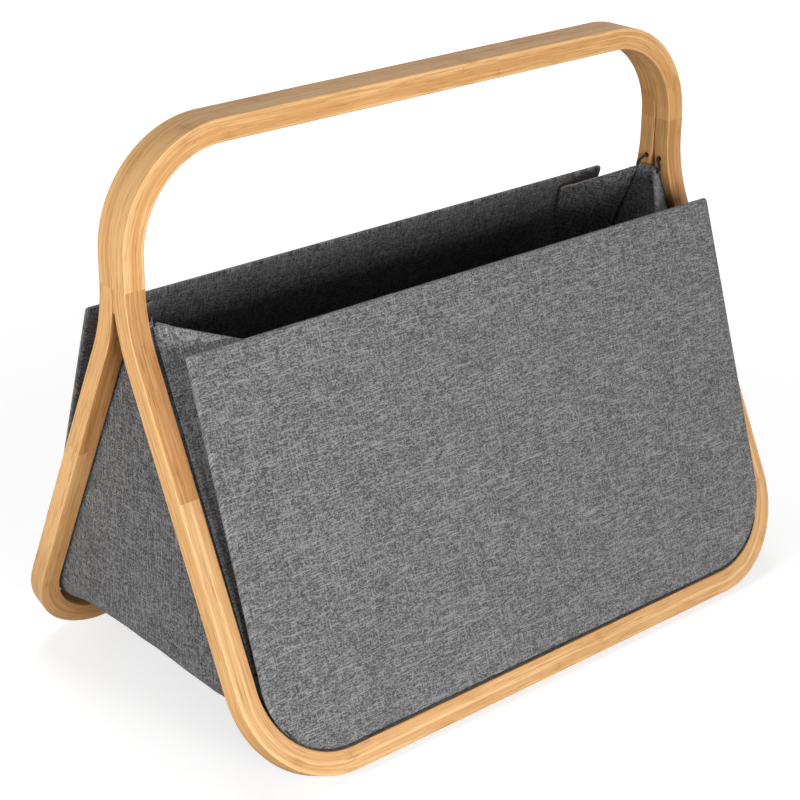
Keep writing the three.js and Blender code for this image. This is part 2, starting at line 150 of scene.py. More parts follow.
def new_piece(name, points, faces, lay, finish, body="basket", crisp=38):
    """lay is each point's place in the material: along the grain, across it and into
    it."""
    mesh = bpy.data.meshes.new(name)
    mesh.from_pydata([Vector(point) * MILLIMETRE for point in points], [], faces)
    held = mesh.attributes.new("lay", "FLOAT_VECTOR", "POINT")
    held.data.foreach_set("vector", [number * MILLIMETRE for place in lay for number in place])
    work = bmesh.new()
    work.from_mesh(mesh)
    bmesh.ops.remove_doubles(work, verts=work.verts, dist=1e-7)
    bmesh.ops.recalc_face_normals(work, faces=work.faces)
    work.to_mesh(mesh)
    work.free()
    mesh.shade_smooth()
    mesh.set_sharp_from_angle(angle=math.radians(crisp))
    mesh.materials.append(finish)
    piece = bpy.data.objects.new(name, mesh)
    scene.collection.objects.link(piece)
    if body:
        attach(piece, body)
    return piece


def bent_point(x, down, proud, side):
    """Takes a point of the flat hoop to its place on the bent one."""
    y = BAR_DEPTH / 2
    z = HOOP_HEIGHT - down
    turn = 0.0
    if down > BEND_START:
        turn = min((down - BEND_START) / BEND_RADIUS, SPLAY)
        run = max(down - BEND_END, 0)
        y += BEND_RADIUS * (1 - math.cos(turn)) + run * math.sin(turn)
        z = HOOP_HEIGHT - BEND_START - BEND_RADIUS * math.sin(turn) - run * math.cos(turn)
    y += proud * math.cos(turn) + GLUE_GAP / 2
    z += proud * math.sin(turn)
    return Vector((x, side * y, z))


def bar_section(round_inside):
    """Corners of the bar's section, with a point close to each rounding so that faces shade flat."""
    points = []
    for quarter, (across, through, turned) in enumerate((
            (1, 1, ROUND_OUTSIDE), (-1, 1, ROUND_OUTSIDE),
            (-1, -1, round_inside), (1, -1, min(round_inside, ROUND_SEAM)))):
        middle = Vector((across * (BAR_WIDTH / 2 - turned), through * (BAR_DEPTH / 2 - turned)))
        start = quarter * math.pi / 2
        before = Vector((-math.sin(start), math.cos(start)))
        after = Vector((math.cos(start), math.sin(start)))
        points.append(middle + turned * after - FLAT_MARGIN * before)
        for i in range(ROUND_STEPS + 1):
            angle = start + i / ROUND_STEPS * math.pi / 2
            points.append(middle + turned * Vector((math.cos(angle), math.sin(angle))))
        points.append(middle + turned * before - FLAT_MARGIN * after)
    return points


def leg_stops(side_x, start, end):
    """Stops down a leg, close together in the bend, with a plain stretch left for the cord's hole."""
    x = side_x * (HOOP_WIDTH - BAR_WIDTH) / 2
    at_hole = BEND_START + BEND_RADIUS * math.asin((HOOP_HEIGHT - BEND_START - HOLE_Z) / BEND_RADIUS)
    downs = [start, end, at_hole - HOLE_ROOM, at_hole + HOLE_ROOM, *STOPS_ABOVE_BEND]
    for i in range(BEND_STEPS + 1):
        down = mix(BEND_START, BEND_END, i / BEND_STEPS)
        if abs(down - at_hole) > HOLE_ROOM + 0.5:
            downs.append(down)
    return [(x, down, side_x, 0.0) for down in sorted(downs) if start <= down <= end]


def corner_stops(radius, centre_x, centre_down, start, end):
    """Stops round a quarter from start to end, in quarter turns."""
    stops = []
    for i in range(CORNER_STEPS + 1):
        angle = mix(start, end, i / CORNER_STEPS) * math.pi / 2
        out = (math.cos(angle), math.sin(angle))
        stops.append((centre_x + radius * out[0], centre_down + radius * out[1], *out))
    return stops


def sweep_bar(name, stops, side, finish, hole_side):
    """Sweeps the bar's section along the stops and drills the cord's hole."""
    points, lay = [], []
    runs = lengths_along([stop[:2] for stop in stops])
    for along, (x, down, out_x, out_down) in zip(runs, stops):
        for across, proud in bar_section(mix(ROUND_GLUED, ROUND_INSIDE, ease(down, *PARTING))):
            place = bent_point(x + across * out_x, down + across * out_down, proud, side)
            place.z = max(place.z, 0.0)
            points.append(place)
            lay.append((along, across, proud))
    faces = bar_faces(len(stops), len(points) // len(stops))
    if hole_side:
        drill_hole(points, lay, faces, hole_side, side)
    piece = new_piece(name, points, faces, lay, finish)
    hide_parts(name)
    return piece


def drill_hole(points, lay, faces, side_x, side):
    """Opens the face at the cord's height and sets a round blind hole in it."""
    face_x = side_x * (HOOP_WIDTH / 2 - BAR_WIDTH)
    for number, face in enumerate(faces):
        xs, ys, zs = zip(*(points[i] for i in face))
        flat = all(abs(x - face_x) < 0.01 for x in xs)
        at_height = min(zs) < HOLE_Z - HOLE_RADIUS < HOLE_Z + HOLE_RADIUS < max(zs)
        if flat and at_height and max(ys) - min(ys) > BAR_DEPTH / 2:
            break
    del faces[number]
    first = len(points)
    for depth in (0.0, HOLE_DEPTH):
        for i in range(HOLE_SIDES):
            angle = 2 * math.pi * i / HOLE_SIDES
            y = side * HOLE_Y + HOLE_RADIUS * math.cos(angle)
            z = HOLE_Z + HOLE_RADIUS * math.sin(angle)
            points.append(Vector((face_x + side_x * depth, y, z)))
            lay.append((HOLE_Z - z, depth - BAR_WIDTH / 2, y - side * HOLE_Y))
    faces += net_faces(2, HOLE_SIDES, first=first)
    faces.append(tuple(range(first + HOLE_SIDES, first + 2 * HOLE_SIDES)))
    centre = Vector((0, side * HOLE_Y, HOLE_Z))
    corners = []
    for index in face:
        way = points[index] - centre
        share = math.atan2(way.z, way.y) / (2 * math.pi) % 1
        corners.append((share, round(share * HOLE_SIDES), index))
    corners.sort()
    for (_, start, corner), (_, end, follower) in zip(corners, corners[1:] + corners[:1]):
        if end <= start:
            end += HOLE_SIDES
        for i in range(start, end):
            faces.append((corner, first + i % HOLE_SIDES, first + (i + 1) % HOLE_SIDES))
        faces.append((corner, first + end % HOLE_SIDES, follower))


def plug(made, inputs):
    """Fills a node's inputs: with another node's output, or with a plain value."""
    for key, value in inputs.items():
        if isinstance(value, bpy.types.NodeSocket):
            made.id_data.links.new(value, made.inputs[key])
        else:
            made.inputs[key].default_value = value


def node(tree, kind, inputs=None, **settings):
    made = tree.nodes.new(kind)
    for key, value in settings.items():
        setattr(made, key, value)
    plug(made, inputs or {})
    return made


def calc(operation, *values):
    """Sums on the values, of which at least one is another node's output."""
    tree = next(value.id_data for value in values if isinstance(value, bpy.types.NodeSocket))
    return node(tree, "ShaderNodeMath", dict(enumerate(values)), operation=operation).outputs[0]


def times(value, factor, plus=0.0):
    return calc("MULTIPLY_ADD", value, factor, plus)


def off_middle(value):
    """How far a value stands from the middle of its whole step."""
    return calc("ABSOLUTE", calc("SUBTRACT", calc("FRACT", value), 0.5))


def blend_colours(share, a, b):
    return node(share.id_data, "ShaderNodeMix", {0: share, 6: a, 7: b}, data_type="RGBA").outputs[2]


def span(value, low, high, to_low=0.0, to_high=1.0):
    return node(value.id_data, "ShaderNodeMapRange", {0: value, 1: low, 2: high, 3: to_low, 4: to_high},
                interpolation_type="SMOOTHSTEP").outputs[0]


def vector_calc(operation, a, b):
    return node(a.id_data, "ShaderNodeVectorMath", {0: a, 1: b}, operation=operation).outputs


def stretched_noise(lay, stretch, detail=2.0, rough=0.5):
    """Noise drawn out along the grain: stretch is how many features fit in a metre, each way."""
    return node(lay.id_data, "ShaderNodeTexNoise", {
        "Vector": vector_calc("MULTIPLY", lay, stretch)[0], "Scale": 1.0,
        "Detail": detail, "Roughness": rough}).outputs[0]


def lay_in(tree):
    """The place in the material that new_piece writes on each point."""
    return node(tree, "ShaderNodeAttribute", attribute_name="lay").outputs["Vector"]


def relief(height, strength, distance):
    return node(height.id_data, "ShaderNodeBump",
                {"Height": height, "Strength": strength, "Distance": distance}).outputs[0]


def new_group(name, given):
    """An effect that several finishes share. Its inputs are given with their plain values."""
    tree = bpy.data.node_groups.new(name, "ShaderNodeTree")
    for label, value in given.items():
        kind = "NodeSocketColor" if isinstance(value, tuple) else "NodeSocketFloat"
        tree.interface.new_socket(label, in_out="INPUT", socket_type=kind).default_value = value
    for label, kind in (("Colour", "Color"), ("Roughness", "Float"), ("Height", "Float")):
        tree.interface.new_socket(label, in_out="OUTPUT", socket_type="NodeSocket" + kind)
    return tree, tree.nodes.new("NodeGroupInput").outputs, tree.nodes.new("NodeGroupOutput")


LAYER = 0.0036
MARK_SPACING = 0.236
RIM_TONES = ((0.80, 0.465, 0.195, 1), (0.60, 0.30, 0.105, 1))
INSIDE_TONES = ((0.66, 0.36, 0.14, 1), (0.47, 0.225, 0.075, 1))


def bamboo_layers():
    """Pressed bamboo: layers of 3 to 4 mm, each with its own tone, fibres, streaks and node marks.
    The outermost and innermost layers run on over the butt joints, so their tones are the same all round."""
    tree, given, out = new_group("bamboo_layers", {
        "Pale": (0.8, 0.6, 0.4, 1), "Deep": (0.6, 0.4, 0.2, 1), "Cut": 0.0})
    cut = given["Cut"]
    moved = node(tree, "ShaderNodeCombineXYZ", {0: times(cut, 0.731)}).outputs[0]
    lay = vector_calc("ADD", lay_in(tree), moved)[0]
    along, across = node(tree, "ShaderNodeSeparateXYZ", {0: lay}).outputs[:2]
    fibres = stretched_noise(lay, (22.0, 820.0, 820.0), 3.0, 0.7)
    streaks = stretched_noise(lay, (6.0, 400.0, 400.0))
    pores = stretched_noise(lay, (48.0, 1050.0, 1050.0), 1.0)
    clouds = stretched_noise(lay, (14.0, 70.0, 70.0))
    wander = stretched_noise(lay, (6.0, 40.0, 0.0), 1.0)

    uneven = calc("SINE", times(across, 930.0))
    counted = times(times(uneven, 0.0005, times(wander, 0.0016, across)), 1 / LAYER, 40.3)
    seeded = times(cut, 17.31, calc("FLOOR", counted))
    tone, other = [
        node(tree, "ShaderNodeTexWhiteNoise", {"W": seed}, noise_dimensions="1D").outputs["Value"]
        for seed in (seeded, calc("ADD", seeded, 0.37))]
    groove = span(off_middle(counted), 0.45, 0.5)
    from_mark = off_middle(times(along, 1 / MARK_SPACING, times(other, 3.0)))
    from_mark = times(calc("SUBTRACT", fibres, 0.5), 0.012, from_mark)
    mark = span(from_mark, 0.001, 0.0045, 1.0, 0.0)
    halo = span(from_mark, 0.006, 0.034, 1.0, 0.0)

    share = times(tone, 0.85, -0.18)
    for mask, strength in (
            (span(streaks, 0.36, 0.64), 0.5), (span(clouds, 0.32, 0.68), 0.25),
            (calc("SUBTRACT", fibres, 0.5), 3.0), (span(across, 0.0045, 0.0075), -0.35)):
        share = times(mask, strength, share)
    rim = span(across, 0.0070, 0.0078)
    inside = span(across, -0.0070, -0.0078)
    tones = []
    for label, at_rim, at_inside in zip(("Pale", "Deep"), RIM_TONES, INSIDE_TONES):
        tones.append(blend_colours(inside, blend_colours(rim, given[label], at_rim), at_inside))
    colour = blend_colours(share, *tones)
    dark = node(tree, "ShaderNodeHueSaturation",
                {"Color": given["Deep"], "Saturation": 1.1, "Value": 0.58}).outputs[0]
    smudge = calc("MULTIPLY", halo, span(fibres, 0.36, 0.62))
    for mask, strength in ((span(pores, 0.58, 0.72), 0.5), (smudge, 0.38), (mark, 0.28), (groove, 0.26)):
        colour = blend_colours(times(mask, strength), colour, dark)
    plug(out, {"Colour": colour, "Roughness": times(fibres, 0.16, 0.36),
               "Height": times(mark, 0.25, times(groove, -0.5, times(fibres, 0.5)))})
    return tree


def new_material(name, rough=0.5):
    made = bpy.data.materials.new(name)
    made.use_nodes = True
    shader = made.node_tree.nodes["Principled BSDF"]
    shader.inputs["Roughness"].default_value = rough
    return made, made.node_tree, shader


def bamboo_finish(name, pale, deep, cut):
    made, tree, shader = new_material(name)
    wood = node(tree, "ShaderNodeGroup", {"Pale": (*pale, 1), "Deep": (*deep, 1), "Cut": cut},
                node_tree=layers_group).outputs
    plug(shader, {
        "Base Color": wood["Colour"], "Roughness": wood["Roughness"],
        "Normal": relief(wood["Height"], 0.3, 0.00015),
        "Specular IOR Level": 0.35, "Coat Weight": 0.07, "Coat Roughness": 0.32})
    return made


layers_group = bamboo_layers()
HANDLE_TONES = ((0.85, 0.515, 0.235), (0.65, 0.33, 0.115))
LEG_TONES = ((0.70, 0.38, 0.155), (0.50, 0.235, 0.08))
# The back hoop's legs and foot get deeper tones than the front's: painted shade, for the shade they stand in
# behind the basket.
BACK_LEG_PAINTED_SHADE_TONES = ((0.55, 0.265, 0.09), (0.385, 0.157, 0.045))
FOOT_TONES = ((0.86, 0.54, 0.26), (0.66, 0.36, 0.145))
BACK_FOOT_PAINTED_SHADE_TONES = ((0.72, 0.405, 0.165), (0.54, 0.265, 0.09))

top_x = HOOP_WIDTH / 2 - TOP_RADIUS
top_radius = TOP_RADIUS - BAR_WIDTH / 2
foot_x = HOOP_WIDTH / 2 - FOOT_RADIUS
foot_radius = FOOT_RADIUS - BAR_WIDTH / 2
foot_down = HOOP_LENGTH - FOOT_RADIUS
gap = JOINT_GAP / 2
handle_stops = (
    leg_stops(-1, TOP_RADIUS, JOINT_UPPER[-1] - gap)[:0:-1]
    + corner_stops(top_radius, -top_x, TOP_RADIUS, 2, 3)
    + corner_stops(top_radius, top_x, TOP_RADIUS, 3, 4)
    + leg_stops(1, TOP_RADIUS, JOINT_UPPER[1] - gap)[1:]
)
foot_stops = (
    leg_stops(-1, JOINT_LOWER + gap, foot_down)[:-1]
    + corner_stops(foot_radius, -foot_x, foot_down, 2, 1)
    + corner_stops(foot_radius, foot_x, foot_down, 1, 0)
    + leg_stops(1, JOINT_LOWER + gap, foot_down)[-2::-1]
)
left_stops, right_stops = [
    leg_stops(side_x, JOINT_UPPER[side_x] + gap, JOINT_LOWER - gap) for side_x in (-1, 1)]

cut = 0
# The back hoop takes its deeper leg and foot tones, which are painted shade.
for where, side, leg_tones_and_back_shade, foot_tones_and_back_shade in (
        ("front", -1, LEG_TONES, FOOT_TONES), ("back", 1, BACK_LEG_PAINTED_SHADE_TONES, BACK_FOOT_PAINTED_SHADE_TONES)):
    for name, tones, stops, hole_side in (
            ("handle_bow", HANDLE_TONES, handle_stops, 0), ("left_leg", leg_tones_and_back_shade, left_stops, -1),
            ("right_leg", leg_tones_and_back_shade, right_stops, 1), ("foot_bow", foot_tones_and_back_shade, foot_stops, 0)):
        cut += 1
        whole = f"{where}_{name}"
        bar = sweep_bar(whole, stops, side, bamboo_finish(f"bamboo_{whole}", *tones, cut), hole_side)
        "bamboo_deep" if "leg" in name else "bamboo"


# Glue line
# The two hoops are glued along the handle and down to where they part. What was pressed out is sanded
# flush with the bamboo, so only a hair line shows on top. In the corner where the legs part it stays
# as a fillet that gets thinner downwards.

GLUE_REACH = BAR_WIDTH / 2 - 0.07
FILLET_START = TOP_RADIUS + 4
FILLET_END = 115
FILLET_RINGS = 16
FILLET_DEEP = 5
FILLET_BITE = 0.03

glue_finish, tree, shader = new_material("glue_line")
grain = stretched_noise(lay_in(tree), (60.0, 200.0, 200.0))
plug(shader, {"Base Color": blend_colours(grain, (0.50, 0.29, 0.12, 1), (0.62, 0.37, 0.16, 1))})

glue_stops = (corner_stops(top_radius, -top_x, TOP_RADIUS, 2.16, 3)
              + corner_stops(top_radius, top_x, TOP_RADIUS, 3, 3.84))
points, lay = [], []
for number, (x, down, out_x, out_down) in enumerate(glue_stops):
    for across, side in ((GLUE_REACH, 1), (GLUE_REACH, -1), (-GLUE_REACH, -1), (-GLUE_REACH, 1)):
        points.append((x + across * out_x, side * GLUE_GAP / 2, HOOP_HEIGHT - down - across * out_down))
        lay.append((number * 4.0, across, side * 0.25))
glue_line = new_piece("handle_glue_line", points, bar_faces(len(glue_stops), 4), lay, glue_finish)

for end, side_x in (("left", -1), ("right", 1)):
    points, lay = [], []
    for i in range(FILLET_RINGS):
        share = i / (FILLET_RINGS - 1)
        down = mix(FILLET_START, FILLET_END, share)
        inner_face = bent_point(0, down, -BAR_DEPTH / 2, 1)
        near = HOOP_WIDTH / 2 - mix(0.1, 1.0, share)
        far = HOOP_WIDTH / 2 - FILLET_DEEP
        for across, side in ((near, 1), (near, -1), (far, -1), (far, 1)):
            points.append((side_x * across, side * (inner_face.y + FILLET_BITE), inner_face.z))
            lay.append((down, across, side))
    fillet = new_piece(f"{end}_glue_fillet", points, bar_faces(FILLET_RINGS, 4), lay, glue_finish)


# Panels
# Front and back: a pocket of melange grey cloth drawn over a stiff board, with soft turned edges
# and round lower corners. It leans in towards the top and is sewn to the band along its foot and sides.

PANEL_TOP = 284.3
PANEL_BOTTOM = 19.9
PANEL_AT_FLOOR = 149.5
PANEL_LEAN = 0.3265
LEAN_ANGLE = math.atan(PANEL_LEAN)
PANEL_RISE = (PANEL_TOP - PANEL_BOTTOM) / math.cos(LEAN_ANGLE)
PANEL_HALF_TOP = 244.6
PANEL_HALF_FOOT = 243
PANEL_CORNER = 57.5
PANEL_TOP_CORNER = 2.6
PANEL_THICK = 4.4
PANEL_TURNED = 2.0
PANEL_COLUMNS = 80
PANEL_ROWS = 40
RIM_STEPS = (0.0, 0.12, 0.4, 0.9, 1.5, 2.2, 3.4, 6.0)
YARN = 0.00058
DASHES = (0.0012, 0.0036, 0.009)


def melange_weave():
    """Plain weave of uneven yarn: every yarn is a chain of lighter and darker dashes, both ways."""
    tree, given, out = new_group("melange_weave", {
        "Dark": (0.1, 0.1, 0.1, 1), "Light": (0.3, 0.3, 0.3, 1), "Weft": 1.0, "Warp": 0.8})
    lay = lay_in(tree)
    wander = node(tree, "ShaderNodeTexNoise", {"Vector": lay, "Scale": 30.0, "Detail": 1.0}).outputs[1]
    bent = vector_calc("ADD", lay, vector_calc("MULTIPLY", wander, (0.0018, 0.0018, 0.0))[0])[0]
    parts = node(tree, "ShaderNodeSeparateXYZ", {0: bent}).outputs[:2]
    counts = [times(part, 1 / YARN) for part in parts]
    yarns = [calc("FLOOR", count) for count in counts]
    crowns = []
    for count in counts:
        side = times(calc("FRACT", count), 2.0, -1.0)
        crowns.append(calc("SUBTRACT", 1.0, calc("MULTIPLY", side, side)))
    tones = []
    for run, yarn, seed in ((parts[0], yarns[1], 3.0), (parts[1], yarns[0], 8.0)):
        drawn = []
        for dash in DASHES:
            number = calc("FLOOR", times(yarn, 0.377, calc("DIVIDE", run, dash)))
            which = node(tree, "ShaderNodeCombineXYZ", {0: number, 1: yarn, 2: seed + 900 * dash}).outputs[0]
            value = node(tree, "ShaderNodeTexWhiteNoise", {"Vector": which}).outputs["Value"]
            drawn.append(calc("SUBTRACT", value, 0.5))
        bright = calc("POWER", calc("ADD", drawn[2], 0.5), 12.0)
        tones.append(times(bright, 1.3, calc("SUBTRACT", times(drawn[1], 0.5, drawn[0]), 0.1)))
    weft = calc("MULTIPLY", tones[0], given["Weft"])
    warp = calc("MULTIPLY", tones[1], given["Warp"])
    over = calc("ABSOLUTE", calc("MODULO", calc("ADD", *yarns), 2.0))
    tone, crown = [
        node(tree, "ShaderNodeMix", {0: over, 2: under, 3: upper}, data_type="FLOAT").outputs[0]
        for under, upper in ((weft, warp), crowns[::-1])]
    tone = times(tone, 0.6, times(calc("ADD", weft, warp), 0.6))
    clouds = stretched_noise(lay, (26.0, 26.0, 26.0))
    shade = times(calc("SUBTRACT", clouds, 0.5), 0.24, calc("ADD", tone, 0.45))
    # Yarns are painted lighter on their crowns and darker at their sides: painted shade between the yarns,
    # besides the bump.
    shade = times(calc("SUBTRACT", crown, 0.66), 0.2, shade)
    plug(out, {"Colour": blend_colours(shade, given["Dark"], given["Light"]),
               "Roughness": times(crown, -0.12, 0.94), "Height": times(tone, 0.3, crown)})
    return tree


def cloth_finish(name, dark, light, weft=1.0, warp=0.8):
    made, tree, shader = new_material(name, 0.9)
    weave = node(tree, "ShaderNodeGroup", {
        "Dark": (dark, dark, dark * 1.01, 1), "Light": (light, light, light * 1.01, 1),
        "Weft": weft, "Warp": warp}, node_tree=weave_group).outputs
    plug(shader, {
        "Base Color": weave["Colour"], "Roughness": weave["Roughness"],
        "Normal": relief(weave["Height"], 0.5, 0.0002),
        "Specular IOR Level": 0.25, "Sheen Weight": 0.12, "Sheen Roughness": 0.5})
    return made


weave_group = melange_weave()
panel_cloth = cloth_finish("panel_cloth", 0.063, 0.302, warp=0.45)
# The inner cloth is the panels' weave painted darker: painted shade for the inside of the basket.
inner_cloth_painted_shade = cloth_finish("inner_cloth_painted_shade", 0.038, 0.208)


def spread_between(low, high, count):
    """Places from low to high, close together at both ends where the edge is turned."""
    start = [low + step for step in RIM_STEPS]
    end = [high - step for step in RIM_STEPS]
    middle = [mix(start[-1], end[-1], i / count) for i in range(1, count)]
    return start + middle + end[::-1]


def half_thick(inset, thick, turned):
    """A turned edge is half round: how thick the pocket is at this distance in from its outline."""
    if inset >= turned:
        return thick / 2
    short = (turned - max(inset, 0.0)) / turned
    return thick / 2 * math.sqrt(max(1 - short * short, 0.0))


def pocket(name, grid, thick, turned, place, ripple, finish, body="basket"):
    """A cloth pocket from a grid of (a, b, inset): two faces that meet in turned edges.
    Its inner face gets the darker inner cloth: painted shade for the inside of the basket."""
    points, lay = [], []
    for face in (-1, 1):
        for row in grid:
            for a, b, inset in row:
                wave = ripple(a, b) * ease(inset, 0.5, 20)
                half = face * half_thick(inset, thick, turned)
                points.append(place(a, b, thick / 2 + half + wave))
                lay.append((a + 0.6 * half, b + half, half))
    rows, columns = len(grid), len(grid[0])
    faces = [face for first in (0, rows * columns)
             for face in net_faces(rows, columns, first=first, closed=False)]
    piece = new_piece(name, points, faces, lay, finish, body, crisp=60)
    piece.data.materials.append(inner_cloth_painted_shade)
    outwards = (Vector(place(0, 50, 0)) - Vector(place(0, 50, 1))).normalized()
    for polygon in piece.data.polygons:
        polygon.material_index = 1 if polygon.normal.dot(outwards) < -0.2 else 0
    return piece


def panel_inset(x, y):
    """How far a point of the panel lies in from its outline, whose sides are taken as upright."""
    radius = PANEL_CORNER if y < PANEL_RISE / 2 else PANEL_TOP_CORNER
    from_side = PANEL_HALF_FOOT - abs(x)
    from_end = min(y, PANEL_RISE - y)
    if from_side < radius and from_end < radius:
        return radius - math.hypot(radius - from_side, radius - from_end)
    return min(from_side, from_end)


def corner_cut(radius, from_side):
    """How far a round corner takes the panel's end back, at this distance from its side."""
    short = max(radius - from_side, 0)
    return radius - math.sqrt(max(radius ** 2 - short ** 2, 0))


def panel_rows():
    grid = []
    for x in spread_between(-PANEL_HALF_FOOT, PANEL_HALF_FOOT, PANEL_COLUMNS):
        from_side = PANEL_HALF_FOOT - abs(x)
        low = corner_cut(PANEL_CORNER, from_side)
        high = PANEL_RISE - corner_cut(PANEL_TOP_CORNER, from_side)
        grid.append([(x, y, panel_inset(x, y)) for y in spread_between(low, high, PANEL_ROWS)])
    return grid


def panel_place(side):
    foot = Vector((0, PANEL_AT_FLOOR - PANEL_LEAN * PANEL_BOTTOM, PANEL_BOTTOM))
    up = Vector((0, -math.sin(LEAN_ANGLE), math.cos(LEAN_ANGLE)))
    inward = Vector((0, -math.cos(LEAN_ANGLE), -math.sin(LEAN_ANGLE)))

    def place(x, y, depth):
        widened = x * mix(1, PANEL_HALF_TOP / PANEL_HALF_FOOT, y / PANEL_RISE)
        spot = foot + up * y + inward * depth
        return Vector((widened, side * spot.y, spot.z))
    return place


for where, side in (("front", -1), ("back", 1)):
    def panel_ripple(x, y, side=side):
        slow = noise.noise(Vector((x / 140, y / 110, 3.0 * side)))
        quick = noise.noise(Vector((x / 45, y / 60, 9.0 * side)))
        return 0.45 * slow + 0.12 * quick

    panel = pocket(f"{where}_panel_cover", panel_rows(), PANEL_THICK, PANEL_TURNED, panel_place(side),
                   panel_ripple, panel_cloth)
    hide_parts(f"{where}_panel_cover")


# Seam bindings
# A narrow folded tape of the same yarn, nearly black, closes the seam where each panel is sewn
# to the band; its near-black colour also paints the shade in the seam's gap. It runs round one lower
# corner, along the foot and round the other, and its ends are tucked in behind the panel.

BINDING_THICK = 1.25
BINDING_WIDE = 3.8
BINDING_ROUND = 0.4
BINDING_PROUD = 0.42
BINDING_DEEP = 1.7
BINDING_END = 27
BINDING_TUCK = 1.6
BINDING_CORNER_STEPS = 28
BINDING_FOOT_STEPS = 40

# The tape is darkened to nearly black: painted shade for the seam's gap, and for the gap by the legs on the
# fold strips.
binding_tape_painted_shade = cloth_finish("binding_tape_painted_shade", 0.012, 0.085, weft=0.6, warp=1.0)


def binding_stops():
    """Stops from the left corner to the middle of the foot, and their mirror images."""
    middle = PANEL_HALF_FOOT - PANEL_CORNER
    half = []
    start = 1 + math.asin(1 - BINDING_END / PANEL_CORNER) / math.pi
    for i in range(BINDING_CORNER_STEPS + 1):
        angle = math.pi * mix(start, 1.5, i / BINDING_CORNER_STEPS)
        out = (math.cos(angle), math.sin(angle))
        half.append((-middle + PANEL_CORNER * out[0], PANEL_CORNER + PANEL_CORNER * out[1], *out))
    for i in range(1, BINDING_FOOT_STEPS):
        half.append((mix(-middle, 0, i / BINDING_FOOT_STEPS), 0.0, 0.0, -1.0))
    return half + [(0.0, 0.0, 0.0, -1.0)] + [(-x, y, -out_x, out_y) for x, y, out_x, out_y in half[::-1]]


def seam_binding(where, side):
    place = panel_place(side)
    section = []
    for quarter, (out, deep) in enumerate([(1, 1), (-1, 1), (-1, -1), (1, -1)]):
        for i in range(4):
            angle = (quarter + i / 3) * math.pi / 2
            section.append(((BINDING_THICK / 2 - BINDING_ROUND) * out + BINDING_ROUND * math.cos(angle),
                            (BINDING_WIDE / 2 - BINDING_ROUND) * deep + BINDING_ROUND * math.sin(angle)))
    stops = binding_stops()
    points, lay = [], []
    for run, (x, y, out_x, out_y) in zip(lengths_along([stop[:2] for stop in stops]), stops):
        sway = (0.18 * noise.noise(Vector((run / 9, 4.0 * side, 0)))
                + 0.2 * noise.noise(Vector((run / 31, 7.0, side))))
        tucked = BINDING_TUCK * (1 - ease(BINDING_END - y, 0, 14))
        for proud, deep in section:
            off = BINDING_PROUD - tucked + proud + (sway if proud > 0 else 0)
            points.append(place(x + off * out_x, y + off * out_y, BINDING_DEEP + deep + 1.6 * sway))
            lay.append((run, deep, proud))
    faces = bar_faces(len(stops), len(section))
    tape = new_piece(f"{where}_seam_binding", points, faces, lay, binding_tape_painted_shade, crisp=60)


for where, side in (("front", -1), ("back", 1)):
    seam_binding(where, side)


# Stiffening boards
# Pressed grey board in the panels, the ends, the floor and the flaps. The CAD solids stay as they
# are inside the cloth, and only get a flecked board finish.

board_finish, tree, shader = new_material("pressed_board", 0.92)
solid_place = node(tree, "ShaderNodeTexCoord").outputs["Object"]
flecks = stretched_noise(solid_place, (900.0, 900.0, 900.0), 4.0, 0.7)
fibre = stretched_noise(solid_place, (120.0, 120.0, 120.0), 3.0)
tone = blend_colours(span(flecks, 0.35, 0.7), (0.19, 0.175, 0.155, 1), (0.31, 0.29, 0.26, 1))
plug(shader, {"Base Color": blend_colours(times(fibre, 0.4), tone, (0.24, 0.21, 0.17, 1)),
              "Normal": relief(flecks, 0.3, 0.0002)})
for name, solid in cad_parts.items():
    if name.endswith("_board"):
        for slot in solid.material_slots:
            slot.material = board_finish


# Band
# One strip of the same cloth, cover and lining, that makes both ends and the floor. Half way between
# the panels it breaks at a crease under each end's board, and along the seams it follows the panels'
# round corners, so a gusset forms at each end's foot.

FABRIC = 0.8
SLACK = 0.3
BAND_HALF = 242.4
BAND_TOP = 286
BAND_FLOOR = 17
BAND_THICK = 4.2
CREASE_HEIGHT = 62
CREASE_RADIUS = 14
CHAMFER = math.radians(55)
FLOOR_RADIUS = 30
SEAM_RADIUS_X = 57
SEAM_RADIUS_Z = 57.5
GUSSET_START = 0.7
RIPPLE = 0.8
RIPPLE_TOP = CREASE_HEIGHT + 40
RIPPLE_FROM_X = 165
CREASE_DROPS = (1.6, 7.8)
WALL_STEPS = 24
FLOOR_STEPS = 10
FLOOR_ARC_STEPS = 7
FALL_STEPS = 7
CREASE_STEPS = 9
HEM_TOP = 297.3
FOLD_AT_TOP = 8.5
FOLD_SLOPE = 0.452
FOLD_END = 66
FLAP_SET_BACK = 0.5

gusset_columns = [GUSSET_START + 0.02 * i for i in range(16)]
middle_columns = [0.14, 0.28, 0.42, 0.56, 0.66]
BAND_COLUMNS = ([-1 + 0.02 * i for i in range(16)] + [-across for across in middle_columns[::-1]]
                + [0] + middle_columns + gusset_columns)


def fold_at(z):
    return FOLD_AT_TOP + FOLD_SLOPE * (HEM_TOP - z)


def band_reach(z):
    """Half of the band's width: up to the panels below, and to the flaps' folds above."""
    sewn = PANEL_AT_FLOOR - PANEL_LEAN * z - PANEL_THICK / math.cos(LEAN_ANGLE) - 2 * SLACK
    return mix(sewn, fold_at(z) - FLAP_SET_BACK, ease(z, CREASE_HEIGHT - 20, FOLD_END))


def arc_stops(centre, radii, start, end, steps):
    stops = []
    for i in range(steps + 1):
        angle = mix(start, end, i / steps)
        stops.append((centre[0] + radii[0] * math.cos(angle), centre[1] - radii[1] * math.sin(angle),
                      -math.cos(angle), math.sin(angle)))
    return stops


def wall_stops(start):
    return [(BAND_HALF, mix(start, BAND_TOP, i / WALL_STEPS), -1.0, 0.0) for i in range(1, WALL_STEPS + 1)]


def floor_stops(x):
    return [(mix(0, x, i / FLOOR_STEPS), BAND_FLOOR, 0.0, 1.0) for i in range(FLOOR_STEPS)]


